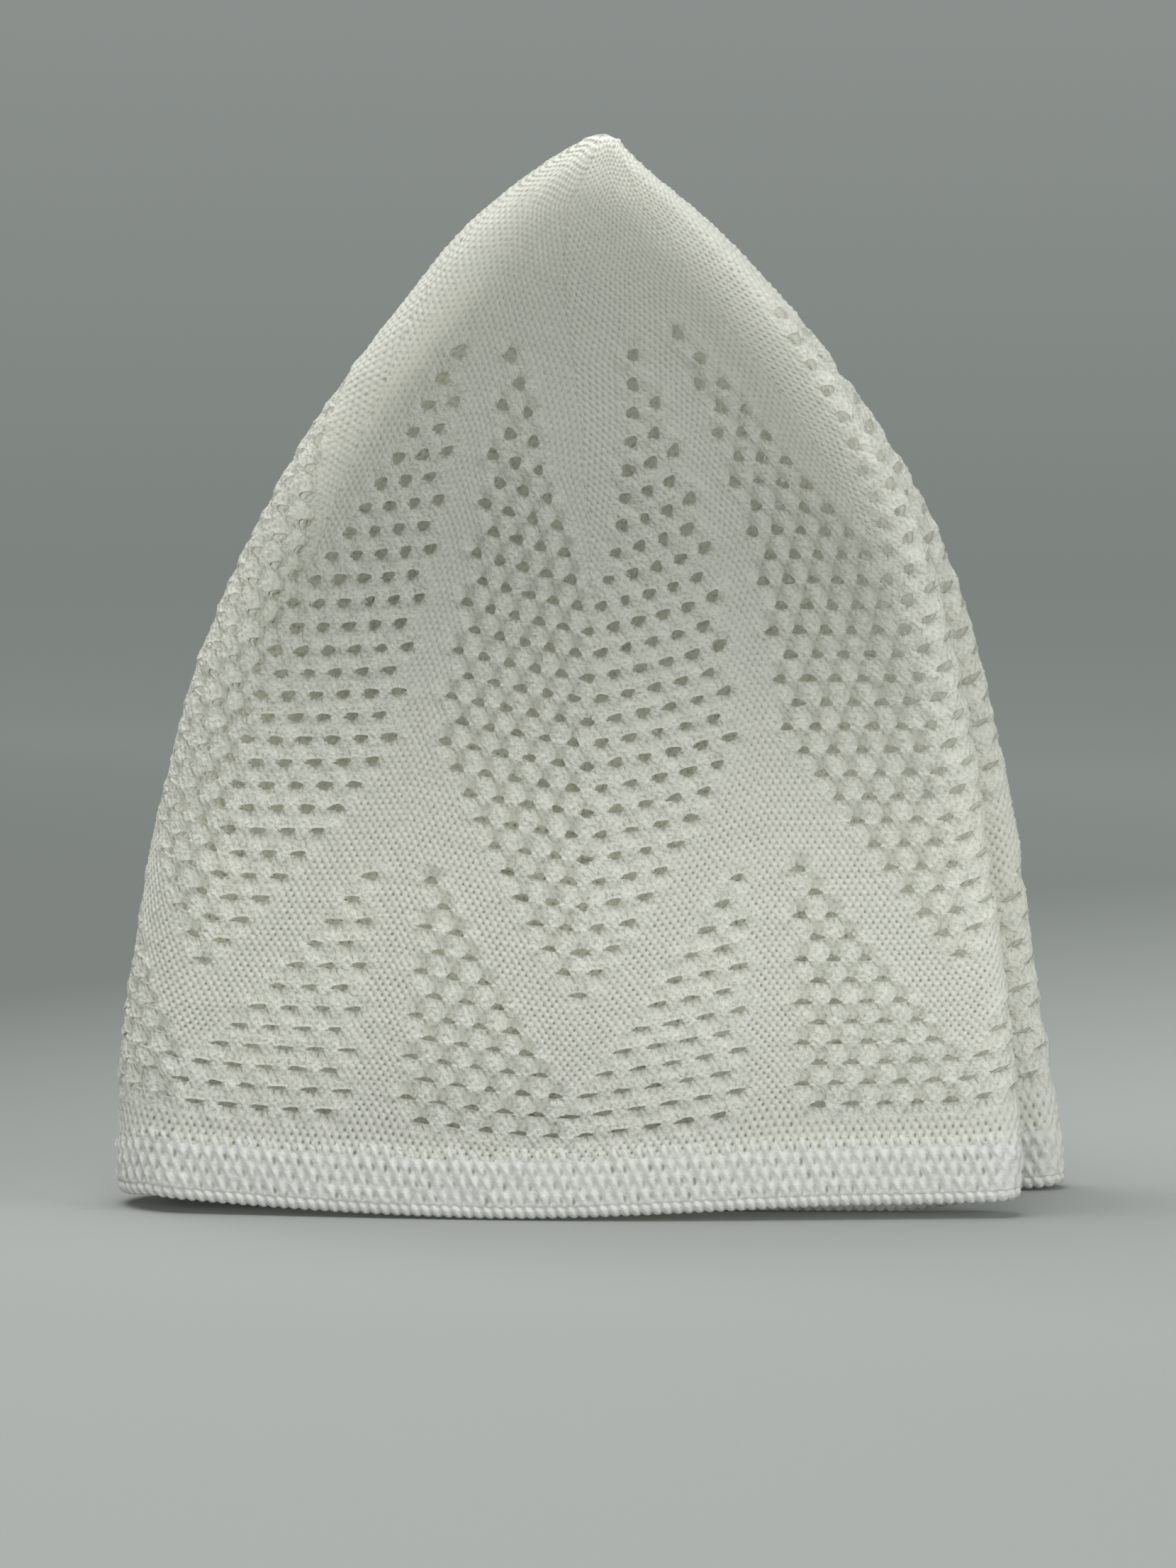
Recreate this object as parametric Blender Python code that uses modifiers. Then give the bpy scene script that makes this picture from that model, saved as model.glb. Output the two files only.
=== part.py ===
"""White lace skull cap, folded in quarters and standing on its rim.

The cap is one thin wall round the head opening. It is pressed flat and then
folded once more, so from above each section is a hairpin: a flattened loop
whose two legs meet at the crease on the left and open a little to the right.
Each leg has two layers with the head space between them.

Units are metres, +Z is up, +X runs along the fold to the right, and the
origin is on the ground under the middle of the cap.
"""

import bmesh
import bpy
import numpy as np

MM = 0.001

# Walls and heights
CROWN_WALL = 1.6 * MM
BAND_WALL = 3.0 * MM
EDGE_WALL = 2.8 * MM
EDGE_HEIGHT = 2.2 * MM
BAND_HEIGHT = 8.6 * MM
SEAM_GAP = 0.4 * MM
TOP_HEIGHT = 159.6 * MM

# Repeats of the lace round the head, and columns of faces in a layer
REPEATS = 9
COLUMNS_PER_REPEAT = 8
COLUMNS = REPEATS * COLUMNS_PER_REPEAT
LAYER_COLUMNS = COLUMNS // 4
FIRST_LEAF_COLUMN = 1
FOLD_COLUMN_SHARE = 0.5
FOLD_COLUMNS = 2

# Courses of the crown: plain top rows, then lace rows down to the band
PLAIN_ROWS = 4
LACE_ROWS = 18
LACE_TOP_DEPTH = 35.0 * MM
COURSE_SAG = 5.5 * MM

# Rows of gaps, counted in lace rows from the top, and the columns they take
# in one repeat, where column 4 is the middle of a leaf and column 0 the plain
# stripe between two leaves
GAP_COURSES = (
    # lace row, columns
    (2, (2, 6)),
    (5, (1, 4, 7)),
    (8, (3, 5)),
    (11, (4,)),
    (13, (1, 7)),
    (16, (2, 4, 6)),
)
GAP_BORDER_SHARE = 0.22

# A course near the top is an arc this much higher at the folds, as a share of
# its depth below the centre
ARC_SHARE = 0.27

EDGE_BEVEL = 0.6 * MM
BAND_BEVEL = 0.9 * MM
RIM_BEVEL_ANGLE = np.radians(60)

# Sections of the folded cap in millimetres. left is the crease, front_end and
# back_end are the folds of the two legs at the right, all on the outer face.
# The spacings are from the middle plane to the middle of a leg, and the puffs
# are half the distance between the two layers of a leg.
SECTION_COLUMNS = (
    "height", "left", "front_end", "back_end",
    "crease_spacing", "front_spacing", "back_spacing", "front_spread", "back_spread",
    "end_puff", "middle_puff",
)
SECTIONS = np.array((
    (0.0, -70.2, 62.4, 70.8, 6.8, 13.2, 12.4, 13.0, 17.0, 3.4, 5.8),
    (12.8, -70.7, 62.8, 70.0, 6.6, 13.0, 12.2, 12.9, 16.6, 3.4, 5.8),
    (28.0, -69.9, 61.6, 67.4, 6.4, 12.6, 11.8, 12.5, 15.8, 3.3, 5.6),
    (41.0, -68.0, 60.0, 65.7, 6.2, 12.0, 11.3, 12.0, 15.0, 3.2, 5.2),
    (55.0, -65.6, 58.1, 63.7, 6.0, 11.2, 10.7, 11.4, 14.0, 3.1, 4.7),
    (69.0, -62.4, 56.2, 60.9, 5.7, 10.4, 10.0, 10.7, 12.9, 3.0, 4.1),
    (86.0, -57.3, 52.7, 56.9, 5.3, 9.2, 9.0, 9.7, 11.3, 2.8, 3.4),
    (102.0, -50.1, 48.3, 51.1, 4.9, 7.9, 7.8, 8.6, 9.7, 2.6, 2.5),
    (121.0, -39.1, 37.9, 39.8, 4.3, 6.3, 6.3, 7.0, 7.6, 2.2, 1.9),
    (135.0, -28.4, 27.6, 28.8, 3.8, 5.1, 5.1, 5.7, 6.0, 1.9, 1.5),
    (147.7, -17.5, 15.9, 16.5, 3.3, 4.0, 4.0, 4.3, 4.4, 1.6, 1.3),
    (156.0, -7.0, 7.5, 7.6, 2.7, 3.0, 3.0, 3.1, 3.2, 1.2, 1.1),
    (160.7, -0.9, 4.0, 4.0, 2.3, 2.4, 2.4, 2.4, 2.4, 1.05, 1.05),
))

# The rim stands on the ground in its middle and lifts towards the folds
CREASE_LIFT = 3.6 * MM
CREASE_LIFT_REACH = 0.36
END_LIFT = 1.6 * MM
END_LIFT_REACH = 0.16
FRONT_LIFT = 2.2 * MM
FRONT_LIFT_START = 0.42
FRONT_LIFT_FULL = 0.85

# The sections are drawn about the fold's middle plane, and the origin is under
# the middle of the whole cap
ORIGIN_X = -0.15 * MM
ORIGIN_Y = 0.47 * MM

ARC_STEPS = 24
LEG_STEPS = 60

CROWN_COLOUR = (0.86, 0.85, 0.81, 1.0)
BAND_COLOUR = (0.88, 0.87, 0.84, 1.0)
EDGE_COLOUR = (0.84, 0.83, 0.80, 1.0)
YARN_ROUGHNESS = 0.9


def smooth(x):
    """Ease from 0 to 1 with a level start and end."""
    x = np.clip(x, 0.0, 1.0)
    return x * x * (3.0 - 2.0 * x)


def section_at(height):
    """Read every column of SECTIONS at a height, along a smooth cubic through its rows."""
    z = SECTIONS[:, 0] * MM
    height = float(np.clip(height, z[0], z[-1]))
    row = int(np.clip(np.searchsorted(z, height) - 1, 0, len(z) - 2))
    slopes = np.gradient(SECTIONS[:, 1:] * MM, z, axis=0)
    span = z[row + 1] - z[row]
    t = (height - z[row]) / span
    low, high = SECTIONS[row, 1:] * MM, SECTIONS[row + 1, 1:] * MM
    values = (
        (2 * t**3 - 3 * t**2 + 1) * low
        + (t**3 - 2 * t**2 + t) * span * slopes[row]
        + (3 * t**2 - 2 * t**3) * high
        + (t**3 - t**2) * span * slopes[row + 1]
    )
    return dict(zip(SECTION_COLUMNS[1:], values))


def leg_spacing(t, crease, middle, end):
    """Distance from the middle plane, a parabola through the crease, middle and end."""
    bend = 2.0 * middle - 0.5 * (crease + end)
    return crease * (1 - t) ** 2 + 2 * bend * t * (1 - t) + end * t**2


def leg_line(start, stop, crease, middle, end):
    """Middle line of one leg from the crease: a quarter round, then the leg."""
    turn = min(crease, 0.8 * (stop - start))
    angle = np.linspace(0.0, np.pi / 2, ARC_STEPS, endpoint=False)
    x = np.concatenate((
        start + turn * (1 - np.cos(angle)),
        np.linspace(start + turn, stop, LEG_STEPS),
    ))
    rounding = np.concatenate((np.sin(angle), np.ones(LEG_STEPS)))
    t = (x - start) / (stop - start)
    return x, leg_spacing(t, crease, middle, end) * rounding, t


def hairpin(height, wall):
    """Four layers of the folded loop at a height, as lines of points.

    The middle line of the hairpin runs from the front leg's end round the
    crease to the back leg's end. Each layer lies one puff to its side, and
    half a circle joins the layers at each end.
    """
    s = section_at(height)
    half = wall / 2
    start = s["left"] + half + s["end_puff"]
    front_x, front_y, front_t = leg_line(
        start, s["front_end"] - half - s["end_puff"],
        s["crease_spacing"], s["front_spacing"], s["front_spread"])
    back_x, back_y, back_t = leg_line(
        start, s["back_end"] - half - s["end_puff"],
        s["crease_spacing"], s["back_spacing"], s["back_spread"])
    x = np.concatenate((front_x[::-1], back_x[1:]))
    y = np.concatenate((-front_y[::-1], back_y[1:]))
    t = np.concatenate((front_t[::-1], back_t[1:]))
    line = np.stack((x, y), axis=1)
    tangent = np.gradient(line, axis=0)
    tangent /= np.linalg.norm(tangent, axis=1)[:, None]
    outward = np.stack((tangent[:, 1], -tangent[:, 0]), axis=1)
    if outward[0, 1] > 0:
        outward = -outward
    puff = s["end_puff"] + (s["middle_puff"] - s["end_puff"]) * np.sin(np.pi * t) ** 2
    outer = line + outward * puff[:, None]
    inner = line - outward * puff[:, None]
    crease = len(front_x) - 1
    turns = np.linspace(0.0, np.pi / 2, ARC_STEPS, endpoint=False)

    def end_cap(index, along, side):
        """Quarter round from the end fold's tip to a layer."""
        return (
            line[index]
            + puff[index] * np.cos(turns)[:, None] * along
            + puff[index] * np.sin(turns)[:, None] * side * outward[index]
        )

    front_tip, back_tip = -tangent[0], tangent[-1]
    return (
        np.concatenate((end_cap(0, front_tip, 1), outer[:crease + 1]))[::-1],
        np.concatenate((outer[crease:], end_cap(-1, back_tip, 1)[::-1])),
        np.concatenate((end_cap(-1, back_tip, -1), inner[crease:][::-1])),
        np.concatenate((inner[:crease + 1][::-1], end_cap(0, front_tip, -1)[::-1])),
    )


def at_shares(line, shares):
    """Points at shares of a line's length."""
    steps = np.linalg.norm(np.diff(line, axis=0), axis=1)
    length = np.concatenate(((0.0,), np.cumsum(steps)))
    length /= length[-1]
    return np.stack([np.interp(shares, length, line[:, i]) for i in (0, 1)], axis=1)


def column_shares():
    """Shares of a layer's length at its columns, with narrow columns beside the folds."""
    widths = np.ones(LAYER_COLUMNS)
    widths[:FOLD_COLUMNS] = FOLD_COLUMN_SHARE
    widths[-FOLD_COLUMNS:] = FOLD_COLUMN_SHARE
    shares = np.concatenate(((0.0,), np.cumsum(widths)))
    return shares / shares[-1]


def loop_columns():
    """Layer number and share of its length for each column round the loop.

    The loop runs from the crease along the front outer layer (0), back along
    the front inner (1), out along the back inner (2) and home along the back
    outer (3).
    """
    out = column_shares()[:-1]
    home = column_shares()[:0:-1]
    layers = np.repeat(np.arange(4), LAYER_COLUMNS)
    return layers, np.concatenate((out, home, out, home))


def loop_points(heights, section_heights, wall):
    """Point of each column at its own height, on the plan of its section height."""
    layers, shares = loop_columns()
    points = np.empty((len(layers), 3))
    points[:, 2] = heights
    for column, (layer, share, height) in enumerate(zip(layers, shares, section_heights)):
        front_outer, back_outer, back_inner, front_inner = hairpin(height, wall)
        line = (front_outer, front_inner, back_inner[::-1], back_outer)[layer]
        points[column, :2] = at_shares(line, np.array((share,)))[0] - (ORIGIN_X, ORIGIN_Y)
    return points


def rim_lift():
    """Height of the rim above the ground at each column."""
    layers, shares = loop_columns()
    crease = np.clip(1 - shares / CREASE_LIFT_REACH, 0, 1) ** 2
    end = np.clip(1 - (1 - shares) / END_LIFT_REACH, 0, 1) ** 2
    front = smooth((shares - FRONT_LIFT_START) / (FRONT_LIFT_FULL - FRONT_LIFT_START))
    inner = smooth((shares - FRONT_LIFT_FULL) / (1 - FRONT_LIFT_FULL))
    raised = np.where(layers == 0, front, np.where(layers == 1, inner, 0.0))
    return CREASE_LIFT * crease + END_LIFT * end + FRONT_LIFT * raised


def crown_courses():
    """Height of every column in each course of the crown, from the top down.

    A course is an arc round the cap's centre near the top, a flatter arc
    lower down, and takes on the line of the rim at the band.
    """
    shares = loop_columns()[1]
    rim_height = EDGE_HEIGHT + BAND_HEIGHT + 2 * SEAM_GAP
    bottom_depth = SECTIONS[-1, 0] * MM - rim_height
    top_depth = SECTIONS[-1, 0] * MM - TOP_HEIGHT
    plain = top_depth + (LACE_TOP_DEPTH - top_depth) * np.linspace(0, 1, PLAIN_ROWS, endpoint=False)
    lace = np.linspace(LACE_TOP_DEPTH, bottom_depth, LACE_ROWS + 1)
    across = (2 * shares - 1) ** 2
    rows = []
    for depth in np.concatenate((plain, lace)):
        near_rim = smooth((depth - 0.5 * bottom_depth) / (0.5 * bottom_depth))
        arc = ARC_SHARE * min(depth - top_depth, LACE_TOP_DEPTH)
        arc += (COURSE_SAG - arc) * smooth((depth - LACE_TOP_DEPTH) / (bottom_depth - LACE_TOP_DEPTH))
        height = SECTIONS[-1, 0] * MM - depth
        rows.append(height + (1 - near_rim) * arc * across + near_rim * rim_lift())
    return rows


def lay_sheet(name, rows, wall, closed_top=False, upright=False):
    """Open surface through the rows of column heights, and its faces by row.

    An upright sheet keeps the plan of its lowest row.
    """
    mesh = bpy.data.meshes.new(name)
    bm = bmesh.new()
    plans = rows[-1:] * len(rows) if upright else rows
    rings = [
        [bm.verts.new(point) for point in loop_points(row, plan, wall)]
        for row, plan in zip(rows, plans)
    ]
    faces = []
    for upper, lower in zip(rings, rings[1:]):
        faces.append([
            bm.faces.new((upper[i], lower[i], lower[(i + 1) % COLUMNS], upper[(i + 1) % COLUMNS]))
            for i in range(COLUMNS)
        ])
    if closed_top:
        bm.faces.new(rings[0])
    return mesh, bm, faces


def cut_gaps(bm, faces):
    """Open the lace: each chosen face gets a border, and its middle is taken out."""
    chosen = [
        faces[PLAIN_ROWS + row][column]
        for row, places in GAP_COURSES
        for column in range(COLUMNS)
        if (column - FIRST_LEAF_COLUMN + COLUMNS_PER_REPEAT // 2) % COLUMNS_PER_REPEAT in places
    ]
    for face in chosen:
        border = GAP_BORDER_SHARE * min(edge.calc_length() for edge in face.edges)
        bmesh.ops.inset_individual(bm, faces=[face], thickness=border)
    bmesh.ops.delete(bm, geom=chosen, context="FACES")


def yarn(name, colour):
    """Matt yarn material in one colour."""
    material = bpy.data.materials.new(name)
    material.use_nodes = True
    shader = material.node_tree.nodes["Principled BSDF"]
    shader.inputs["Base Color"].default_value = colour
    shader.inputs["Roughness"].default_value = YARN_ROUGHNESS
    shader.inputs["Metallic"].default_value = 0.0
    material.diffuse_color = colour
    return material


def finish_piece(name, mesh, bm, wall, colour, collection, bevel=0.0):
    """Object with its wall's thickness, and softened rims where a bevel is given."""
    bm.to_mesh(mesh)
    bm.free()
    piece = bpy.data.objects.new(name, mesh)
    collection.objects.link(piece)
    mesh.materials.append(yarn(name + "_yarn", colour))
    solid = piece.modifiers.new("wall", "SOLIDIFY")
    solid.thickness = wall
    solid.offset = 0.0
    if bevel:
        rounding = piece.modifiers.new("rim", "BEVEL")
        rounding.width = bevel
        rounding.segments = 1
        rounding.limit_method = "ANGLE"
        rounding.angle_limit = RIM_BEVEL_ANGLE
    mesh.shade_smooth()
    return piece


def build():
    for old in list(bpy.data.objects):
        bpy.data.objects.remove(old, do_unlink=True)
    cap = bpy.data.collections.new("prayer_cap")
    bpy.context.scene.collection.children.link(cap)

    lift = rim_lift()
    mesh, bm, _ = lay_sheet("rim_edge", (lift + EDGE_HEIGHT, lift), EDGE_WALL, upright=True)
    finish_piece("rim_edge", mesh, bm, EDGE_WALL, EDGE_COLOUR, cap, EDGE_BEVEL)

    low = lift + EDGE_HEIGHT + SEAM_GAP
    mesh, bm, _ = lay_sheet("rim_band", (low + BAND_HEIGHT, low), BAND_WALL)
    finish_piece("rim_band", mesh, bm, BAND_WALL, BAND_COLOUR, cap, BAND_BEVEL)

    mesh, bm, faces = lay_sheet("crown", crown_courses(), CROWN_WALL, closed_top=True)
    cut_gaps(bm, faces)
    finish_piece("crown", mesh, bm, CROWN_WALL, CROWN_COLOUR, cap)


build()
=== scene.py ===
"""Finish of the white lace skull cap, folded in quarters and standing on its rim.

The crown is knitted lace with its eyelets cut through, the band is rows of
plump knots, and the edge is a thick chain. All three follow one folded
surface, which is worked out from the same sections as the solids.
"""

import bpy
import numpy as np
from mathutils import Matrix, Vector


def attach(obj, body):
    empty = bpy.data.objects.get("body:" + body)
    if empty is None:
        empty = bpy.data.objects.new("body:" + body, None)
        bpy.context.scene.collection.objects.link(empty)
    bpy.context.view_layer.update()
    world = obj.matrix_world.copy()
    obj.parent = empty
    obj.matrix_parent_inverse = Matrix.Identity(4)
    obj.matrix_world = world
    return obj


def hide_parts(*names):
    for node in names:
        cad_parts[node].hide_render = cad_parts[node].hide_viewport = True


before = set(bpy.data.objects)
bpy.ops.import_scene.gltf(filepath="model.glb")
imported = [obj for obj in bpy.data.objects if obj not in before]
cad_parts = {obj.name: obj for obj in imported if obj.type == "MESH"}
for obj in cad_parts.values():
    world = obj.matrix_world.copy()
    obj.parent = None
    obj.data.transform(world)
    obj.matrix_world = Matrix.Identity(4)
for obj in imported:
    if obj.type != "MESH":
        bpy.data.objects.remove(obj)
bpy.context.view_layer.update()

MM = 0.001

# Fold

# Sections of the folded cap in millimetres, one row for each height. left is
# the crease, front_end and back_end the folds at the right, on the outer face.
# Spacings run from the middle plane to the middle of a leg, and puffs are half
# the distance between the two layers of a leg.
SECTION_COLUMNS = (
    "height", "left", "front_end", "back_end",
    "crease_spacing", "front_spacing", "back_spacing", "front_spread", "back_spread",
    "end_puff", "middle_puff",
)
SECTIONS = np.array((
    (0.0, -70.2, 62.4, 70.8, 6.8, 13.2, 12.4, 13.0, 17.0, 3.4, 5.8),
    (12.5, -70.7, 62.8, 70.0, 6.6, 13.0, 12.2, 12.9, 16.6, 3.4, 5.8),
    (26.7, -69.9, 61.6, 67.4, 6.4, 12.6, 11.8, 12.5, 15.8, 3.3, 5.6),
    (39.3, -68.0, 60.0, 65.7, 6.2, 12.0, 11.3, 12.0, 15.0, 3.2, 5.2),
    (53.2, -65.6, 58.1, 63.7, 6.0, 11.2, 10.7, 11.4, 14.0, 3.1, 4.7),
    (67.2, -62.4, 56.2, 60.9, 5.7, 10.4, 10.0, 10.7, 12.9, 3.0, 4.1),
    (84.2, -57.3, 52.7, 56.9, 5.3, 9.2, 9.0, 9.7, 11.3, 2.8, 3.4),
    (100.2, -50.1, 48.3, 51.1, 4.9, 7.9, 7.8, 8.6, 9.7, 2.6, 2.5),
    (119.2, -39.1, 37.9, 39.8, 4.3, 6.3, 6.3, 7.0, 7.6, 2.2, 1.9),
    (133.2, -28.4, 27.6, 28.8, 3.8, 5.1, 5.1, 5.7, 6.0, 1.9, 1.5),
    (145.9, -17.5, 15.9, 16.5, 3.3, 4.0, 4.0, 4.3, 4.4, 1.6, 1.3),
    (154.2, -6.8, 6.6, 6.7, 2.6, 2.9, 2.9, 3.0, 3.1, 1.1, 1.0),
    (157.4, -1.5, 3.7, 3.8, 1.9, 2.1, 2.1, 2.1, 2.1, 0.7, 0.7),
    (158.9, 0.7, 3.1, 3.1, 1.2, 1.2, 1.2, 1.2, 1.2, 0.2, 0.2),
))
ORIGIN_X = -0.15 * MM
ORIGIN_Y = 0.47 * MM
CROWN_WALL = 1.6 * MM
CAP_TOP = 158.7 * MM
ARC_STEPS = 24
LEG_STEPS = 60

# Line of the leaf in the middle of the front, from the rim to the centre
LEAF_LINE = np.array((
    # height, x
    (0.0, -4.1), (10.0, -3.7), (33.6, -2.0), (58.2, -0.9), (83.2, -0.8), (101.2, -0.5),
    (109.2, -1.5), (117.2, -1.8), (125.2, -3.0), (138.2, -4.4), (148.2, -3.6), (158.9, 1.8),
)) * MM

# The folded surface is looked up from loops at even heights, each cut into
# even shares of its length
LOOKUP_LOOPS = 260
LOOKUP_SHARES = 1440

# The rim stands on the ground in its middle and lifts towards the folds
CREASE_LIFT = 3.1 * MM
CREASE_LIFT_REACH = 0.50
CREASE_DIP = 1.6 * MM
CREASE_DIP_REACH = 0.07
END_LIFT = 0.5 * MM
END_LIFT_REACH = 0.16
FRONT_LIFT = 1.9 * MM
FRONT_LIFT_START = 0.42
FRONT_LIFT_FULL = 0.85


def smooth(x):
    """Ease from 0 to 1 with a level start and end: 3x^2 - 2x^3."""
    x = np.clip(x, 0.0, 1.0)
    return x * x * (3.0 - 2.0 * x)


def section_at(height):
    """Each column of SECTIONS at a height, on the Hermite cubic through its rows."""
    z = SECTIONS[:, 0] * MM
    height = float(np.clip(height, z[0], z[-1]))
    row = int(np.clip(np.searchsorted(z, height) - 1, 0, len(z) - 2))
    slopes = np.gradient(SECTIONS[:, 1:] * MM, z, axis=0)
    span = z[row + 1] - z[row]
    t = (height - z[row]) / span
    values = (
        (2 * t**3 - 3 * t**2 + 1) * SECTIONS[row, 1:] * MM
        + (t**3 - 2 * t**2 + t) * span * slopes[row]
        + (3 * t**2 - 2 * t**3) * SECTIONS[row + 1, 1:] * MM
        + (t**3 - t**2) * span * slopes[row + 1]
    )
    return dict(zip(SECTION_COLUMNS[1:], values))


def leg_line(start, stop, crease, middle, end):
    """Middle line of a leg: a quarter round from the crease, then a parabola of spacing."""
    turn = min(crease, 0.8 * (stop - start))
    angle = np.linspace(0.0, np.pi / 2, ARC_STEPS, endpoint=False)
    x = np.concatenate((
        start + turn * (1 - np.cos(angle)),
        np.linspace(start + turn, stop, LEG_STEPS),
    ))
    rounding = np.concatenate((np.sin(angle), np.ones(LEG_STEPS)))
    t = (x - start) / (stop - start)
    bend = 2.0 * middle - 0.5 * (crease + end)
    spacing = crease * (1 - t) ** 2 + 2 * bend * t * (1 - t) + end * t**2
    return x, spacing * rounding, t


def fold_loop(height):
    """Closed loop of the wall's middle at a height, and the length at each fold.

    The hairpin's middle line runs from the front leg's end round the crease to
    the back leg's end. The layers lie one puff to either side of it, joined by
    half circles at the ends. The loop starts at the outer crease and runs along
    the front outer, front inner, back inner and back outer layers.
    """
    s = section_at(height)
    half = CROWN_WALL / 2
    start = s["left"] + half + s["end_puff"]
    front_x, front_y, front_t = leg_line(
        start, s["front_end"] - half - s["end_puff"],
        s["crease_spacing"], s["front_spacing"], s["front_spread"])
    back_x, back_y, back_t = leg_line(
        start, s["back_end"] - half - s["end_puff"],
        s["crease_spacing"], s["back_spacing"], s["back_spread"])
    line = np.stack((
        np.concatenate((front_x[::-1], back_x[1:])),
        np.concatenate((-front_y[::-1], back_y[1:])),
    ), axis=1)
    t = np.concatenate((front_t[::-1], back_t[1:]))
    tangent = np.gradient(line, axis=0)
    tangent /= np.linalg.norm(tangent, axis=1)[:, None]
    outward = np.stack((tangent[:, 1], -tangent[:, 0]), axis=1)
    if outward[0, 1] > 0:
        outward = -outward
    puff = s["end_puff"] + (s["middle_puff"] - s["end_puff"]) * np.sin(np.pi * t) ** 2
    outer = line + outward * puff[:, None]
    inner = line - outward * puff[:, None]
    crease = len(front_x) - 1
    turns = np.linspace(0.0, np.pi / 2, ARC_STEPS, endpoint=False)[:, None]

    def end_turn(index, along, side):
        """Quarter round from the tip of an end fold to one of its layers."""
        return line[index] + puff[index] * (
            np.cos(turns) * along + np.sin(turns) * side * outward[index])

    front_tip, back_tip = -tangent[0], tangent[-1]
    layers = (
        np.concatenate((end_turn(0, front_tip, 1), outer[:crease + 1]))[::-1],
        np.concatenate((end_turn(0, front_tip, -1), inner[:crease + 1])),
        np.concatenate((end_turn(-1, back_tip, -1), inner[crease:][::-1]))[::-1],
        np.concatenate((end_turn(-1, back_tip, 1), outer[crease:][::-1])),
    )
    points = np.concatenate([layer[:-1] for layer in layers] + [layers[0][:1]])
    steps = np.linalg.norm(np.diff(points, axis=0), axis=1)
    length = np.concatenate(((0.0,), np.cumsum(steps)))
    folds = length[np.cumsum([0] + [len(layer) - 1 for layer in layers])]
    return points - (ORIGIN_X, ORIGIN_Y), length, folds


class Fold:
    """The folded surface as tables over height and share of the loop's length."""

    def __init__(self):
        self.heights = np.linspace(0.0, CAP_TOP, LOOKUP_LOOPS)
        shares = np.linspace(0.0, 1.0, LOOKUP_SHARES + 1)
        grid = np.empty((LOOKUP_LOOPS, LOOKUP_SHARES + 1, 3))
        self.girth = np.empty(LOOKUP_LOOPS)
        self.folds = np.empty((LOOKUP_LOOPS, 5))
        self.leaf_share = np.empty(LOOKUP_LOOPS)
        for row, height in enumerate(self.heights):
            points, length, folds = fold_loop(height)
            for axis in (0, 1):
                grid[row, :, axis] = np.interp(shares * length[-1], length, points[:, axis])
            grid[row, :, 2] = height
            self.girth[row] = length[-1]
            self.folds[row] = folds / length[-1]
            front = shares <= self.folds[row, 1]
            leaf_x = np.interp(height, LEAF_LINE[:, 0], LEAF_LINE[:, 1])
            self.leaf_share[row] = np.interp(leaf_x, grid[row, front, 0], shares[front])
        around = np.roll(grid[:, :-1], -1, axis=1) - np.roll(grid[:, :-1], 1, axis=1)
        up = np.gradient(grid, axis=0)[:, :-1]
        normal = np.cross(around, up)
        normal /= np.linalg.norm(normal, axis=2)[:, :, None]
        normal = np.concatenate((normal, normal[:, :1]), axis=1)
        self.table = np.concatenate((grid[:, :, :2], normal), axis=2)

    def at(self, height, share):
        """Position and outward normal at heights and shares, blended from the four
        nearest entries."""
        row = np.clip(height / CAP_TOP, 0, 1) * (LOOKUP_LOOPS - 1)
        column = np.mod(share, 1.0) * LOOKUP_SHARES
        r0 = np.minimum(row.astype(int), LOOKUP_LOOPS - 2)
        c0 = np.minimum(column.astype(int), LOOKUP_SHARES - 1)
        fr = (row - r0)[..., None]
        fc = (column - c0)[..., None]
        t = self.table
        found = (
            (t[r0, c0] * (1 - fc) + t[r0, c0 + 1] * fc) * (1 - fr)
            + (t[r0 + 1, c0] * (1 - fc) + t[r0 + 1, c0 + 1] * fc) * fr
        )
        place = np.concatenate((found[..., :2], height[..., None]), axis=-1)
        normal = found[..., 2:] / np.linalg.norm(found[..., 2:], axis=-1)[..., None]
        return place, normal

    def leaf_share_at(self, height):
        """Share of the loop at the line of the front's middle leaf."""
        return np.interp(height, self.heights, self.leaf_share)

    def layer_at(self, height, share):
        """Layer number, and the share across that layer from its crease end."""
        share = np.mod(share, 1.0)
        bounds = [np.interp(height, self.heights, self.folds[:, i]) for i in range(5)]
        layer = sum((share >= bounds[i]).astype(int) for i in (1, 2, 3))
        low = np.choose(layer, bounds[:4])
        high = np.choose(layer, bounds[1:])
        across = np.clip((share - low) / (high - low), 0, 1)
        return layer, np.where(layer % 2 == 1, 1 - across, across)


def rim_lift(layer, across):
    """Height of the rim above the ground: quadratic rises at the folds, and an eased front."""
    crease = np.clip(1 - across / CREASE_LIFT_REACH, 0, 1) ** 2
    end = np.clip(1 - (1 - across) / END_LIFT_REACH, 0, 1) ** 2
    front = smooth((across - FRONT_LIFT_START) / (FRONT_LIFT_FULL - FRONT_LIFT_START))
    inner = smooth((across - FRONT_LIFT_FULL) / (1 - FRONT_LIFT_FULL))
    raised = np.where(layer == 0, front, np.where(layer == 1, inner, 0.0))
    dip = np.clip(1 - across / CREASE_DIP_REACH, 0, 1)
    return CREASE_LIFT * crease - CREASE_DIP * dip + END_LIFT * end + FRONT_LIFT * raised


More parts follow.
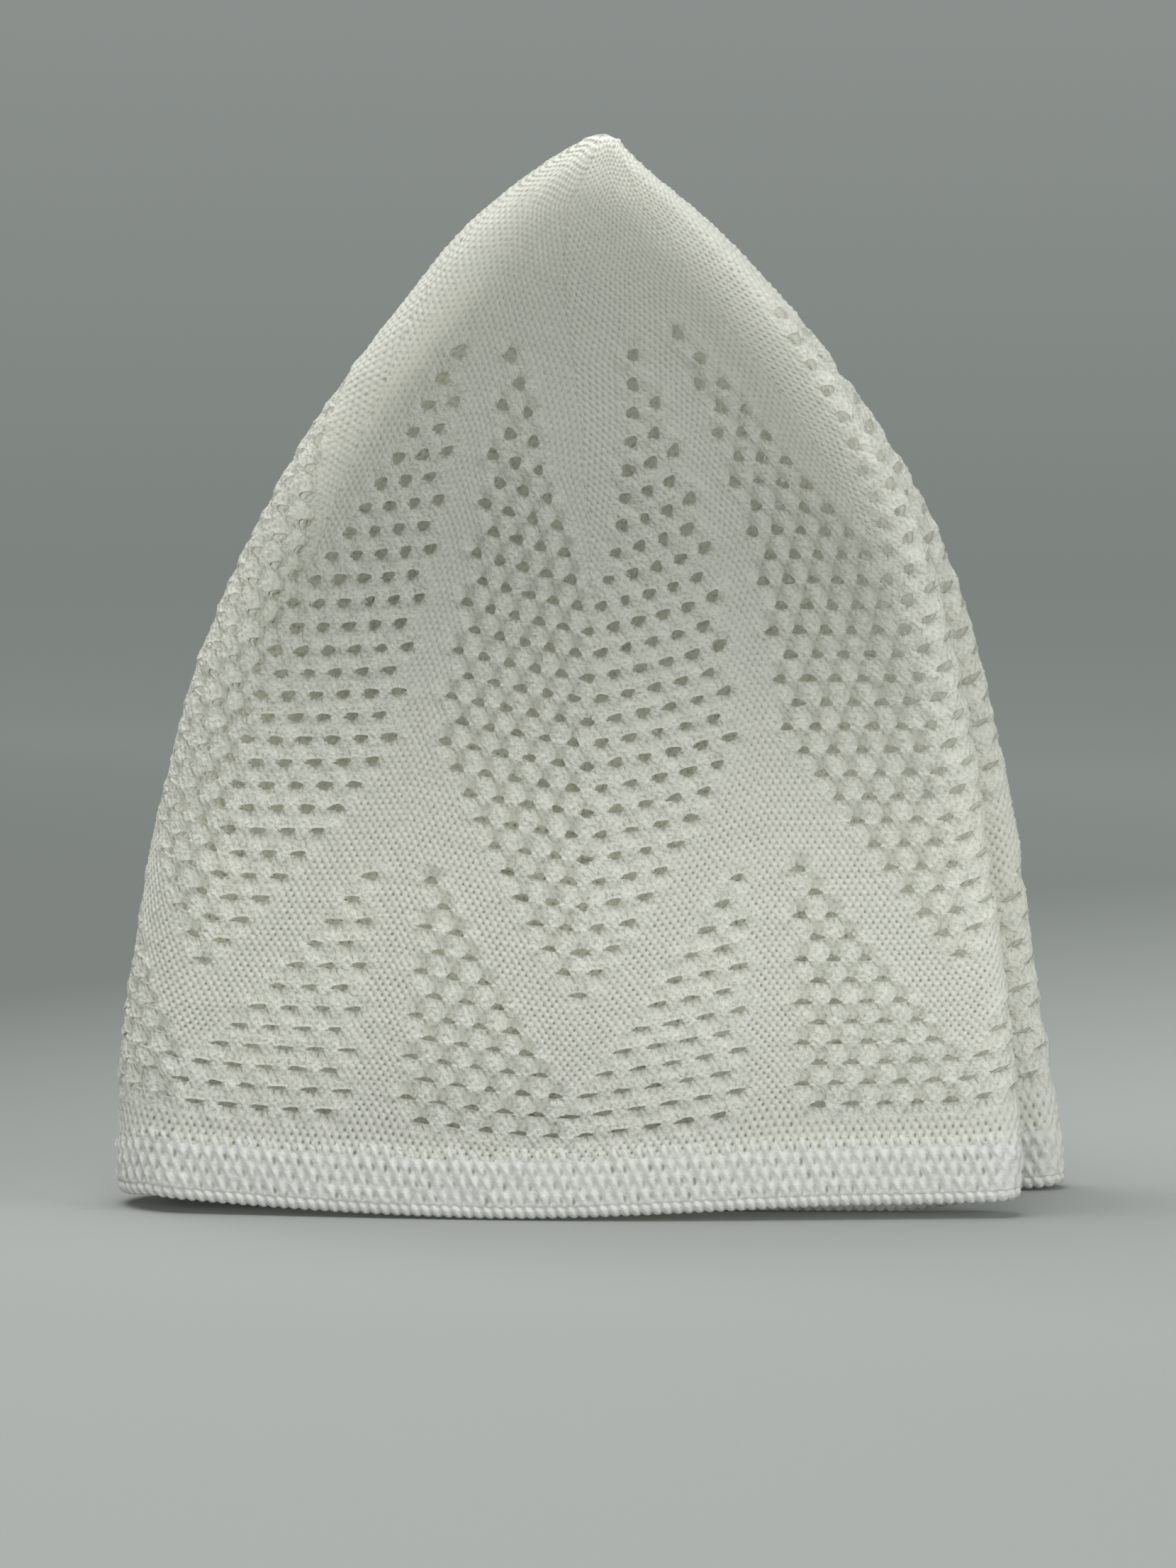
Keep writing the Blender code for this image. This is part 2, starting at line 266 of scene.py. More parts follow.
# Lace chart. A repeat is twelve eyelet spaces wide, from one plain stripe to
# the next, with a leaf in its middle. Four stitches and four knitted rows lie
# between neighbouring eyelets, and a mesh cell is half a stitch each way.
REPEATS = 9
HALF_REPEAT = 6
CELLS = 8
CELLS_PER_STITCH = 2
HALF_COLUMNS = HALF_REPEAT * CELLS
REPEAT_COLUMNS = 2 * HALF_COLUMNS
COLUMNS = REPEATS * REPEAT_COLUMNS
LACE_ROWS = 34
LEAF_ROWS = 27
FULL_ROWS_END = 17
FIRST_TRIANGLE_ROW = 23
FIRST_ROW = -8.5
LAST_ROW = 35.5

# Rises are from the leaf's line to the stripe, to the folds, and over the leaf
# on the right. The front is drawn together by its tightness, and the leaf on
# the right is shifted outwards.
ROW_COLUMNS = (
    "row", "height", "stripe_rise", "fold_rise", "right_rise", "right_shift",
    "half_width", "tightness",
)
ROW_LINES = np.array((
    # lace row, height and rises and shift in mm, half width in spaces, tightness
    (-8.6, 157.9, 0.0, 0.0, 0.0, 0.0, 0.30, 0.10),
    (-7.9, 155.2, 0.6, 0.6, 0.3, 0.0, 0.90, 0.12),
    (-6.5, 150.8, 1.0, 1.4, 0.8, 0.0, 1.60, 0.13),
    (-4.0, 142.6, 1.6, 2.0, 2.0, 0.0, 2.30, 0.137),
    (-1.3, 133.2, 2.0, 2.4, 2.8, 0.0, 2.85, 0.137),
    (1.0, 124.8, 2.4, 2.8, 3.1, 0.4, 3.30, 0.137),
    (5.0, 107.9, 4.8, 5.2, 3.1, 1.2, 4.90, 0.140),
    (10.0, 89.8, 4.6, 7.0, 2.5, 1.2, 6.0, 0.104),
    (13.0, 79.4, 4.2, 6.7, 1.9, 1.0, 6.0, 0.085),
    (17.0, 66.4, 3.8, 6.4, 1.0, 0.4, 6.0, 0.061),
    (21.0, 52.8, 3.7, 7.0, 0.5, 0.2, 6.0, 0.060),
    (25.0, 39.2, 3.7, 7.5, 0.0, 0.0, 6.0, 0.058),
    (29.0, 26.6, 3.2, 6.4, 0.0, 0.0, 6.0, 0.057),
    (34.0, 12.1, 2.4, 4.8, 0.0, 0.0, 6.0, 0.055),
    (35.5, 8.2, 0.2, 1.0, 0.0, 0.0, 6.0, 0.055),
))
RIM_LINE_START = 22.0
POINTED_ROWS = (-3.0, 2.0)
RIGHT_LEAF_START = 0.03
RIGHT_LEAF_BLEND = 0.05
RIGHT_LEAF_END = 0.35


def row_value(row, name):
    """One column of ROW_LINES at lace rows, on straight lines between its rows."""
    return np.interp(row, ROW_LINES[:, 0], ROW_LINES[:, ROW_COLUMNS.index(name)])


def eyelet_chart():
    """Lace row and spaces from the stripe of each eyelet in one half repeat.

    A leaf grows inwards from the stripe by half a space a row until its two
    sides meet at row 10, stays full to row 17, and narrows to one eyelet at
    row 27. Triangles grow from the stripe from row 23 to the band. Rows are
    staggered by half a space.
    """
    chart = []
    for row in range(1, LACE_ROWS + 1):
        first = 1.0 if row % 2 else 1.5
        places = np.arange(first, HALF_REPEAT + 0.1, 1.0)
        in_leaf = (places - first < (row + 1) // 2) & (row <= LEAF_ROWS)
        in_leaf &= places >= 1 + 0.5 * (row - FULL_ROWS_END)
        triangle = row - FIRST_TRIANGLE_ROW + 1
        in_triangle = places - first < (triangle + 1) // 2
        chart.extend((row, place) for place in places[in_leaf | in_triangle])
    return np.array(chart)


def all_eyelets():
    """Mesh row, mesh column and side of the leaf of every eyelet round the head."""
    row, place = eyelet_chart().T
    on_line = place == HALF_REPEAT
    row = np.concatenate((row, row[~on_line]))
    column = np.concatenate((place * CELLS, (REPEAT_COLUMNS - place * CELLS)[~on_line]))
    side = np.where(column < HALF_COLUMNS, -1.0, np.where(column > HALF_COLUMNS, 1.0, 0.0))
    mesh_row = (row - FIRST_ROW) * CELLS
    starts = np.arange(REPEATS)[:, None] * REPEAT_COLUMNS
    return (
        np.tile(mesh_row, REPEATS).astype(int),
        (starts + column).ravel().astype(int),
        np.tile(side, REPEATS),
    )


# Relief of the knitting, outwards from the wall's middle
KNIT_FACE = 0.75 * MM
PILLOW_RISE = 0.32 * MM
MOUND_RISE = 0.22 * MM
LUMP_RISE = 0.15 * MM
LUMP_CELLS = 5
CLUMP_RISE = 0.16 * MM
CLUMP_CELLS = 3
PILLOW_VARIETY = (0.7, 1.3)
LACE_PILLOW_LOSS = 0.4
PLAIN_LUMP_SHARE = 0.4
RING_CALM = 0.3

# Two rings turn each eyelet's edge into the cloth. Their openwork value tells
# the yarn's shader to leave them without stitches.
LIP_DEPTHS = np.array((0.5, 1.2)) * MM
LIP_SPREADS = np.array((0.96, 1.12))
LIP_OPENWORK = 2.0

# The knitting sinks beside each eyelet: above it left of a leaf's line, and
# below it on the right
FUNNEL_DEPTHS = {-1.0: 0.9 * MM, 0.0: 0.7 * MM, 1.0: 0.7 * MM}
FUNNEL_SHIFTS = {-1.0: -2.2, 0.0: 0.0, 1.0: 1.8}
FUNNEL_WIDTH = 3.4
FUNNEL_HEIGHT = 4.2
FUNNEL_REACH = 7
FUNNEL_FADE_ROWS = (1.0, 12.0)
FUNNEL_START = 0.35

# The front sinks inside its top edges, down to RECESS_LOW, and its yarn gets
# painted shade there, by EDGE_SHADE also outside the hollow
RECESS_DEPTH = 4.6 * MM
RECESS_EDGE = 3.0 * MM
RECESS_SLOPE = 11.0 * MM
RECESS_LOW = 42.0 * MM
RECESS_RISE = 58.0 * MM
RECESS_TOP = 153.0 * MM
RECESS_FALL = 34.0 * MM
EDGE_SHADE = 0.42
SHADED_LOW = 30.0 * MM
SHADED_RISE = 70.0 * MM
SHADED_TOP = 162.0 * MM
SHADED_FALL = 16.0 * MM

# Two rows close the top: how far in they reach, and how high they rise
LID_REACH = (0.5, 1.0)
LID_RISE = (0.45 * MM, 0.6 * MM)
TOP_TUCK = 2.0 * MM

# Eyelets are a block of four by four cells, drawn in to a rounded triangle
BLOCK = 2
WARP_REACH = 2.0
EYELET_WIDTH = 0.98
EYELET_HEIGHTS = np.array(((1, 1.00), (12, 0.76), (24, 0.58), (34, 0.44)))
TRIANGLE_LOBES = 0.15
EYELET_VARIETY = 0.10
EYELET_TURN = 0.35
LACE_REACH = 7

SEED = 4816
CROWN_PIECES = (
    # name, first repeat, repeats
    ("crown_front_outer", -1, 3),
    ("crown_front_inner", 2, 2),
    ("crown_back_inner", 4, 2),
    ("crown_back_outer", 6, 2),
)


def noise_grid(rng, rows, columns, step):
    """Smooth random field from -1 to 1, closed round the head: values at every step
    cells, blended bilinearly."""
    coarse = rng.uniform(-1, 1, (rows // step + 2, columns // step))
    r = np.arange(rows) / step
    c = np.arange(columns) / step
    r0, c0 = r.astype(int), c.astype(int)
    fr, fc = smooth(r - r0)[:, None], smooth(c - c0)[None, :]
    c1 = (c0 + 1) % coarse.shape[1]
    c0 = c0 % coarse.shape[1]
    upper = coarse[r0][:, c0] * (1 - fc) + coarse[r0][:, c1] * fc
    lower = coarse[r0 + 1][:, c0] * (1 - fc) + coarse[r0 + 1][:, c1] * fc
    return upper * (1 - fr) + lower * fr


def corner_quads(ids):
    """Four corners of each cell of a grid of numbers."""
    return np.stack((ids[:-1, :-1], ids[1:, :-1], ids[1:, 1:], ids[:-1, 1:]), axis=2)


class Crown:
    """The lace crown as one grid of mesh rows from the centre down and columns round the head."""

    def __init__(self, fold):
        self.fold = fold
        rng = np.random.default_rng(SEED)
        self.count = int((LAST_ROW - FIRST_ROW) * CELLS) + 1
        self.hole_rows, self.hole_columns, self.hole_sides = all_eyelets()
        rows, columns = np.meshgrid(np.arange(self.count), np.arange(COLUMNS), indexing="ij")
        self.rows, self.columns = rows.astype(float), columns.astype(float)
        self.shape_eyelets(rng)
        self.relief = self.knit_relief(rng)
        self.ring = self.eyelet_ring()

    def shape_eyelets(self, rng):
        """Draws the cells round each eyelet in: squares become circles with three soft
        lobes, scaled to the eyelet's size, and the pull fades out to WARP_REACH blocks."""
        reach = int(BLOCK * WARP_REACH)
        step = np.arange(-reach, reach + 1)
        dy, dx = np.meshgrid(step, step, indexing="ij")
        self.hole_size = 1 + EYELET_VARIETY * rng.standard_normal((len(self.hole_rows), 2))
        self.hole_turn = EYELET_TURN * rng.standard_normal(len(self.hole_rows))
        moved_y, moved_x = self.eyelet_warp(dy.ravel() / BLOCK, dx.ravel() / BLOCK)
        r = self.hole_rows[:, None] + dy.ravel()
        c = (self.hole_columns[:, None] + dx.ravel()) % COLUMNS
        near = np.maximum(np.abs(dy), np.abs(dx)).ravel() < reach
        near = near[None, :] & (r < self.count)
        np.add.at(self.rows, (r[near], c[near]), moved_y[near])
        np.add.at(self.columns, (r[near], c[near]), moved_x[near])

    def eyelet_warp(self, y, x):
        """Shift in cells, for every eyelet, of points y, x in blocks from its middle."""
        box = np.maximum(np.abs(y), np.abs(x))
        away = np.hypot(y, x)
        scale = np.where(away > 0, box / np.maximum(away, 1e-9), 0.0)
        pull = 1 - smooth((box - 1) / (WARP_REACH - 1))
        lace_row = self.hole_rows / CELLS + FIRST_ROW
        tall = np.interp(lace_row, EYELET_HEIGHTS[:, 0], EYELET_HEIGHTS[:, 1])
        angle = np.arctan2(-y, x)[None, :] - self.hole_turn[:, None]
        point = np.where(self.hole_sides > 0, -1.0, 1.0)[:, None]
        lobes = 1 - point * TRIANGLE_LOBES * np.sin(3 * angle)
        size_y = (tall * self.hole_size[:, 0])[:, None] * lobes
        size_x = (EYELET_WIDTH * self.hole_size[:, 1])[:, None] * lobes
        to_y = y * scale * size_y
        to_x = x * scale * size_x
        return (to_y - y) * pull * BLOCK, (to_x - x) * pull * BLOCK

    def lace_mask(self):
        """1 in openwork and 0 in plain knitting, from soft spots round the eyelets."""
        mask = np.zeros((self.count + 2 * LACE_REACH, COLUMNS))
        step = np.arange(-LACE_REACH, LACE_REACH + 1)
        dy, dx = (a.ravel() for a in np.meshgrid(step, step, indexing="ij"))
        spot = np.clip(1 - (dy**2 + dx**2) / (LACE_REACH + 0.5) ** 2, 0, 1)
        r = self.hole_rows[:, None] + dy + LACE_REACH
        c = (self.hole_columns[:, None] + dx) % COLUMNS
        np.add.at(mask, (r, c), np.broadcast_to(spot, r.shape))
        return smooth(mask[LACE_REACH:LACE_REACH + self.count])

    def funnels(self):
        """Depth of the hollows beside the eyelets, each a round paraboloid squared."""
        depth = np.zeros((self.count + 2 * FUNNEL_REACH, COLUMNS))
        lace_row = self.hole_rows / CELLS + FIRST_ROW
        grown = FUNNEL_START + (1 - FUNNEL_START) * smooth(
            (lace_row - FUNNEL_FADE_ROWS[0]) / (FUNNEL_FADE_ROWS[1] - FUNNEL_FADE_ROWS[0]))
        step = np.arange(-FUNNEL_REACH, FUNNEL_REACH + 1)
        dy, dx = (a.ravel() for a in np.meshgrid(step, step, indexing="ij"))
        for side, deep in FUNNEL_DEPTHS.items():
            mine = self.hole_sides == side
            shift = FUNNEL_SHIFTS[side] * grown[mine, None]
            away = (dx / FUNNEL_WIDTH) ** 2 + ((dy - shift) / FUNNEL_HEIGHT) ** 2
            spot = deep * grown[mine, None] * np.clip(1 - away, 0, 1) ** 2
            r = self.hole_rows[mine, None] + dy + FUNNEL_REACH
            c = (self.hole_columns[mine, None] + dx) % COLUMNS
            np.add.at(depth, (r, c), spot)
        return depth[FUNNEL_REACH:FUNNEL_REACH + self.count]

    def knit_relief(self, rng):
        """Rise of each vertex: a pillow in the middle of each stitch and a dip between
        stitches, staggered by row, mounds halfway between eyelets, hollows beside them,
        and random lumps, weaker on the eyelets' rings."""
        r, c = np.meshgrid(np.arange(self.count), np.arange(COLUMNS), indexing="ij")
        lace_row = r / CELLS + FIRST_ROW
        inside = c % REPEAT_COLUMNS
        spaces = np.minimum(inside, REPEAT_COLUMNS - inside) / CELLS
        u = spaces + (lace_row - 1) / 2
        w = spaces - (lace_row - 1) / 2
        between = np.sin(np.pi * u) ** 2 * np.sin(np.pi * w) ** 2
        self.lace = self.lace_mask()
        stitch_row = r // CELLS_PER_STITCH
        raised = np.where((c + stitch_row) % CELLS_PER_STITCH == 1, 1.0, 0.0)
        middle = np.where(r % CELLS_PER_STITCH == 1, raised, 0.5)
        pillow = middle * rng.uniform(*PILLOW_VARIETY, r.shape) * PILLOW_RISE
        lumps = noise_grid(rng, self.count, COLUMNS, LUMP_CELLS) * LUMP_RISE
        clumps = noise_grid(rng, self.count, COLUMNS, CLUMP_CELLS) * CLUMP_RISE
        calm = np.ones((self.count + BLOCK, COLUMNS))
        step = np.arange(-BLOCK, BLOCK + 1)
        dy, dx = (a.ravel() for a in np.meshgrid(step, step, indexing="ij"))
        calm[self.hole_rows[:, None] + dy, (self.hole_columns[:, None] + dx) % COLUMNS] = RING_CALM
        fine = pillow * (1 - LACE_PILLOW_LOSS * self.lace) + self.lace * clumps
        return (
            KNIT_FACE + fine * calm[:self.count] + lumps * (PLAIN_LUMP_SHARE + self.lace)
            + self.lace * MOUND_RISE * between - self.funnels()
        )

    def eyelet_ring(self):
        """Steps in mesh rows and columns from an eyelet's middle to each vertex of its
        edge, in order round it."""
        return np.array(
            [(-BLOCK, x) for x in range(-BLOCK, BLOCK)]
            + [(y, BLOCK) for y in range(-BLOCK, BLOCK)]
            + [(BLOCK, x) for x in range(BLOCK, -BLOCK, -1)]
            + [(y, -BLOCK) for y in range(BLOCK, -BLOCK, -1)])

    def place(self, rows, columns, rise):
        """Points of the folded crown at fractional mesh rows and columns, raised outwards,
        and how shaded they are.

        The height is the row's height on the leaf's line, plus its rises to the
        stripe, to the folds and over the right leaf, plus the rim's own line near
        the band. The rise to the stripe is a straight slope in the lace and a
        cosine in the plain top. Columns past a narrowed row's half width gather
        on the leaf's line.
        """
        lace_row = np.clip(rows / CELLS + FIRST_ROW, FIRST_ROW, LAST_ROW)
        repeat = np.floor(columns / REPEAT_COLUMNS)
        inside = columns - repeat * REPEAT_COLUMNS
        half = row_value(lace_row, "half_width")
        spaces = np.minimum(np.minimum(inside, REPEAT_COLUMNS - inside) / CELLS, half)
        side = np.where(inside <= HALF_COLUMNS, -1.0, 1.0)
        towards = 1 - spaces / half
        phase = (repeat + side * 0.5 * towards) / REPEATS
        right = smooth((phase - RIGHT_LEAF_START) / RIGHT_LEAF_BLEND)
        right = right * smooth((RIGHT_LEAF_END - phase) / RIGHT_LEAF_BLEND)
        phase = phase - row_value(lace_row, "tightness") * np.sin(2 * np.pi * phase) / (2 * np.pi)
        pointed = smooth((lace_row - POINTED_ROWS[0]) / (POINTED_ROWS[1] - POINTED_ROWS[0]))
        peak = towards * pointed + 0.5 * (1 - np.cos(np.pi * towards)) * (1 - pointed)
        height = (row_value(lace_row, "height") + row_value(lace_row, "stripe_rise") * peak) * MM
        girth = np.interp(height, self.fold.heights, self.fold.girth)
        phase = phase + row_value(lace_row, "right_shift") * MM * right / girth
        share = self.fold.leaf_share_at(height) + phase
        layer, across = self.fold.layer_at(height, share)
        near_rim = smooth((lace_row - RIM_LINE_START) / (LAST_ROW - RIM_LINE_START))
        arc = row_value(lace_row, "fold_rise") * (2 * across - 1) ** 2
        arc = arc + row_value(lace_row, "right_rise") * right
        height = height + arc * MM + near_rim * rim_lift(layer, across)
        share = self.fold.leaf_share_at(height) + phase
        point, normal = self.fold.at(height, share)
        sunk, shaded = self.recess(height, share)
        return point + normal * (rise - sunk)[..., None], shaded

    def recess(self, height, share):
        """Depth that both front layers sink by, eased in from their folds, from RECESS_LOW
        up and from RECESS_TOP down, and how shaded they are, from SHADED_LOW to
        SHADED_TOP. The depth is negative where the layer faces back."""
        layer, across = self.fold.layer_at(height, share)
        width = np.interp(height, self.fold.heights, self.fold.folds[:, 1] * self.fold.girth)
        inside = np.minimum(across, 1 - across) * width
        eased = smooth((inside - RECESS_EDGE) / RECESS_SLOPE)
        deep = smooth((height - RECESS_LOW) / RECESS_RISE)
        deep = deep * smooth((RECESS_TOP - height) / RECESS_FALL)
        # painted shade of the yarn: rising from SHADED_LOW, strongest inside the front's hollow,
        # EDGE_SHADE elsewhere
        shaded = smooth((height - SHADED_LOW) / SHADED_RISE)
        shaded = shaded * smooth((SHADED_TOP - height) / SHADED_FALL)
        sunk = RECESS_DEPTH * eased * deep * np.choose(layer, (1.0, -1.0, 0.0, 0.0))
        return sunk, (EDGE_SHADE + (1 - EDGE_SHADE) * eased * (layer < 2)) * shaded

    def piece_arrays(self, first, count):
        """Vertices, quads, stitch coordinates, lace and shading of some repeats of the crown."""
        start = first * REPEAT_COLUMNS
        columns = np.arange(start, start + count * REPEAT_COLUMNS + 1)
        inner = columns % COLUMNS
        turn = (columns - inner)[None, :]
        grid_rows = self.rows[:, inner]
        grid_columns = self.columns[:, inner] + turn
        points, shaded = self.place(grid_rows, grid_columns, self.relief[:, inner])
        width = len(columns)
        plain_ids = np.arange(self.count * width).reshape(self.count, width)

        lace_row = np.arange(self.count) / CELLS + FIRST_ROW
        half = row_value(lace_row, "half_width")[:, None]
        inside = (columns % REPEAT_COLUMNS)[None, :]
        gathered = np.minimum(inside, REPEAT_COLUMNS - inside) / CELLS >= half
        line = (columns // REPEAT_COLUMNS * REPEAT_COLUMNS + HALF_COLUMNS - start)[None, :]
        line = np.minimum(line, width - 1)
        line_ids = np.take_along_axis(plain_ids, np.broadcast_to(line, plain_ids.shape), 1)
        ids = np.where(gathered, line_ids, plain_ids)

        solid = np.ones((self.count - 1, width - 1), bool)
        step = np.arange(-BLOCK, BLOCK)
        dy, dx = (a.ravel() for a in np.meshgrid(step, step, indexing="ij"))
        local = (self.hole_columns - start) % COLUMNS
        here = np.flatnonzero(local < width - 1)
        solid[self.hole_rows[here, None] + dy, local[here, None] + dx] = False
        quads = corner_quads(ids)[solid]
        corners = corner_quads(plain_ids)[solid]

        lid = self.lid(points[0], columns)
        lid_ids = np.concatenate((
            ids[:1], self.count * width + np.arange(lid.shape[0] * width).reshape(-1, width)))[::-1]
        quads = np.concatenate((quads, corner_quads(lid_ids).reshape(-1, 4)))
        corners = np.concatenate((corners, corner_quads(lid_ids).reshape(-1, 4)))

        ring_rows = self.hole_rows[here, None] + self.ring[:, 0]
        ring_columns = local[here, None] + self.ring[:, 1]
        rim = ids[ring_rows, ring_columns]
        middle_rows = self.hole_rows[here, None]
        at_edge = (ring_rows, (ring_columns + start) % COLUMNS)
        edge_rows = self.rows[at_edge]
        edge_columns = self.columns[at_edge] + (ring_columns + start) // COLUMNS * COLUMNS
        centre = local[here, None] + start
        parts = [points.reshape(-1, 3), lid.reshape(-1, 3)]
        lip_quads = []
        last = rim
        total = self.count * width + lid.shape[0] * width
        uv_rows = [np.repeat(np.arange(self.count), width), np.repeat((-1.0, -2.0), width)]
        uv_columns = [np.tile(columns, self.count), np.tile(columns, 2)]
        lace = [self.lace[:, inner].ravel(), np.zeros(2 * width)]
        shade = [shaded.ravel(), np.zeros(2 * width)]
        for depth, spread in zip(LIP_DEPTHS, LIP_SPREADS):
            lip_rows = middle_rows + (edge_rows - middle_rows) * spread
            lip_columns = centre + (edge_columns - centre) * spread
            rise = self.relief[at_edge] - depth
            lip, lip_shaded = self.place(lip_rows, lip_columns, rise)
            now = total + np.arange(lip.shape[0] * lip.shape[1]).reshape(lip.shape[:2])
            total += now.size
            ahead, last_ahead = np.roll(now, -1, axis=1), np.roll(last, -1, axis=1)
            lip_quads.append(np.stack((last, last_ahead, ahead, now), axis=2).reshape(-1, 4))
            parts.append(lip.reshape(-1, 3))
            uv_rows.append(lip_rows.ravel())
            uv_columns.append(lip_columns.ravel())
            lace.append(np.full(lip_rows.size, LIP_OPENWORK))
            shade.append(lip_shaded.ravel())
            last = now
        quads = np.concatenate([quads] + lip_quads)
        corners = np.concatenate([corners] + lip_quads)
        stitches = np.stack((
            np.concatenate(uv_columns) / CELLS_PER_STITCH,
            (self.count - 1 - np.concatenate(uv_rows)) / CELLS_PER_STITCH,
        ), axis=1)
        lace, shade = np.concatenate(lace), np.concatenate(shade)
        return np.concatenate(parts), quads, stitches[corners], lace, shade

    def lid(self, ring, columns):
        """Two rows that close the top: the outer layers meet over the fold's middle,
        and the inner ones turn down inside."""
        middle = np.append(self.fold.table[-1, :, :2].mean(axis=0), ring[:, 2].mean())
        share = self.fold.leaf_share_at(ring[:, 2]) + (columns / REPEAT_COLUMNS - 0.5) / REPEATS
        layer = self.fold.layer_at(ring[:, 2], share)[0]
        outer = ((layer == 0) | (layer == 3))[:, None]
        rows = []
        for reach, rise in zip(LID_REACH, LID_RISE):
            over = ring + (middle - ring) * reach + (0.0, 0.0, rise)
            rows.append(np.where(outer, over, ring - (0.0, 0.0, TOP_TUCK * reach)))
        return np.stack(rows)


def surface(name, points, quads, stitches, lace, shade):
    """Smooth mesh object from arrays, with quads cut to triangles, unused points and
    flat triangles left out, each corner's stitch coordinates as a UV map, and the
    openwork and shading of the points as attributes."""
    triangles = np.concatenate((quads[:, (0, 1, 2)], quads[:, (0, 2, 3)]))
    stitches = np.concatenate((stitches[:, (0, 1, 2)], stitches[:, (0, 2, 3)]))
    a, b, c = triangles.T
    sound = (a != b) & (b != c) & (c != a)
    triangles, stitches = triangles[sound], stitches[sound]
    used, triangles = np.unique(triangles, return_inverse=True)
    triangles = triangles.reshape(-1, 3)
    points = points[used]
    mesh = bpy.data.meshes.new(name)
    mesh.vertices.add(len(points))
    mesh.vertices.foreach_set("co", points.astype(np.float32).ravel())
    mesh.loops.add(triangles.size)
    mesh.loops.foreach_set("vertex_index", triangles.astype(np.int32).ravel())
    mesh.polygons.add(len(triangles))
    mesh.polygons.foreach_set("loop_start", np.arange(0, triangles.size, 3, dtype=np.int32))
    mesh.update(calc_edges=True)
    layer = mesh.uv_layers.new(name="stitches")
    layer.data.foreach_set("uv", stitches.astype(np.float32).ravel())
    for label, values in (("openwork", lace), ("shaded", shade)):
        attribute = mesh.attributes.new(label, "FLOAT", "POINT")
        attribute.data.foreach_set("value", values[used].astype(np.float32))
    mesh.shade_smooth()
    piece = bpy.data.objects.new(name, mesh)
    bpy.context.scene.collection.objects.link(piece)
    return piece


# Band and edge. Both are closed profiles carried round the head, a column of
# vertices at a time.
BAND_KNOTS_ROUND = 300
BAND_KNOT_COLUMNS = 5
BAND_KNOT_ROWS = 4
BAND_KNOT_ROW_STEPS = 6
BAND_LOW = 2.0 * MM
BAND_HIGH = 10.6 * MM
BAND_HALF_WALL = 0.80 * MM
BAND_WALL_HEIGHTS = np.array((2.0, 7.5, 10.6)) * MM
BAND_HALF_WALLS = np.array((0.85, 0.80, 0.35)) * MM
BAND_KNOT_RISE = 0.70 * MM
BAND_KNOT_SIZES = (0.6, 1.15)
BAND_ROUGHNESS = 0.08
BAND_SLANT = 0.35
BAND_RIM_STEPS = 3

EDGE_LINKS = 360
EDGE_LINK_COLUMNS = 6
EDGE_PROFILE_STEPS = 14
EDGE_MIDDLE = 1.25 * MM
EDGE_HALF_HEIGHT = 1.25 * MM
EDGE_HALF_WALL = 1.35 * MM
EDGE_LINK_RISE = 0.36
EDGE_LINK_SLANT = 0.25


def profile_round(fold, shares, heights, rises):
    """Points of a closed profile round the head: heights above the rim's line and rises
    from the wall's middle."""
    share = np.broadcast_to(shares[None, :], heights.shape)
    layer, across = fold.layer_at(heights, share)
    height = heights + rim_lift(layer, across)
    point, normal = fold.at(height, share)
    flat = normal * (1.0, 1.0, 0.0)
    flat /= np.linalg.norm(flat, axis=2)[..., None]
    return point + flat * rises[..., None]


def closed_tube(name, grid, stitches):
    """Mesh of a grid closed in both directions, rows down its outer face."""
    rows, columns = grid.shape[:2]
    ids = np.arange(rows * columns).reshape(rows, columns)
    ids = np.pad(ids, ((0, 1), (0, 1)), mode="wrap")
    quads = corner_quads(ids).reshape(-1, 4)
    plain = np.zeros(rows * columns)
    return surface(name, grid.reshape(-1, 3), quads, stitches.reshape(-1, 2)[quads], plain, plain)


def knot_field(u, v):
    """Knots staggered by row: a cosine of u round the head times one of v up the band."""
    return (0.5 - 0.5 * np.cos(2 * np.pi * u) * np.cos(np.pi * (v - 0.5))) ** 0.7


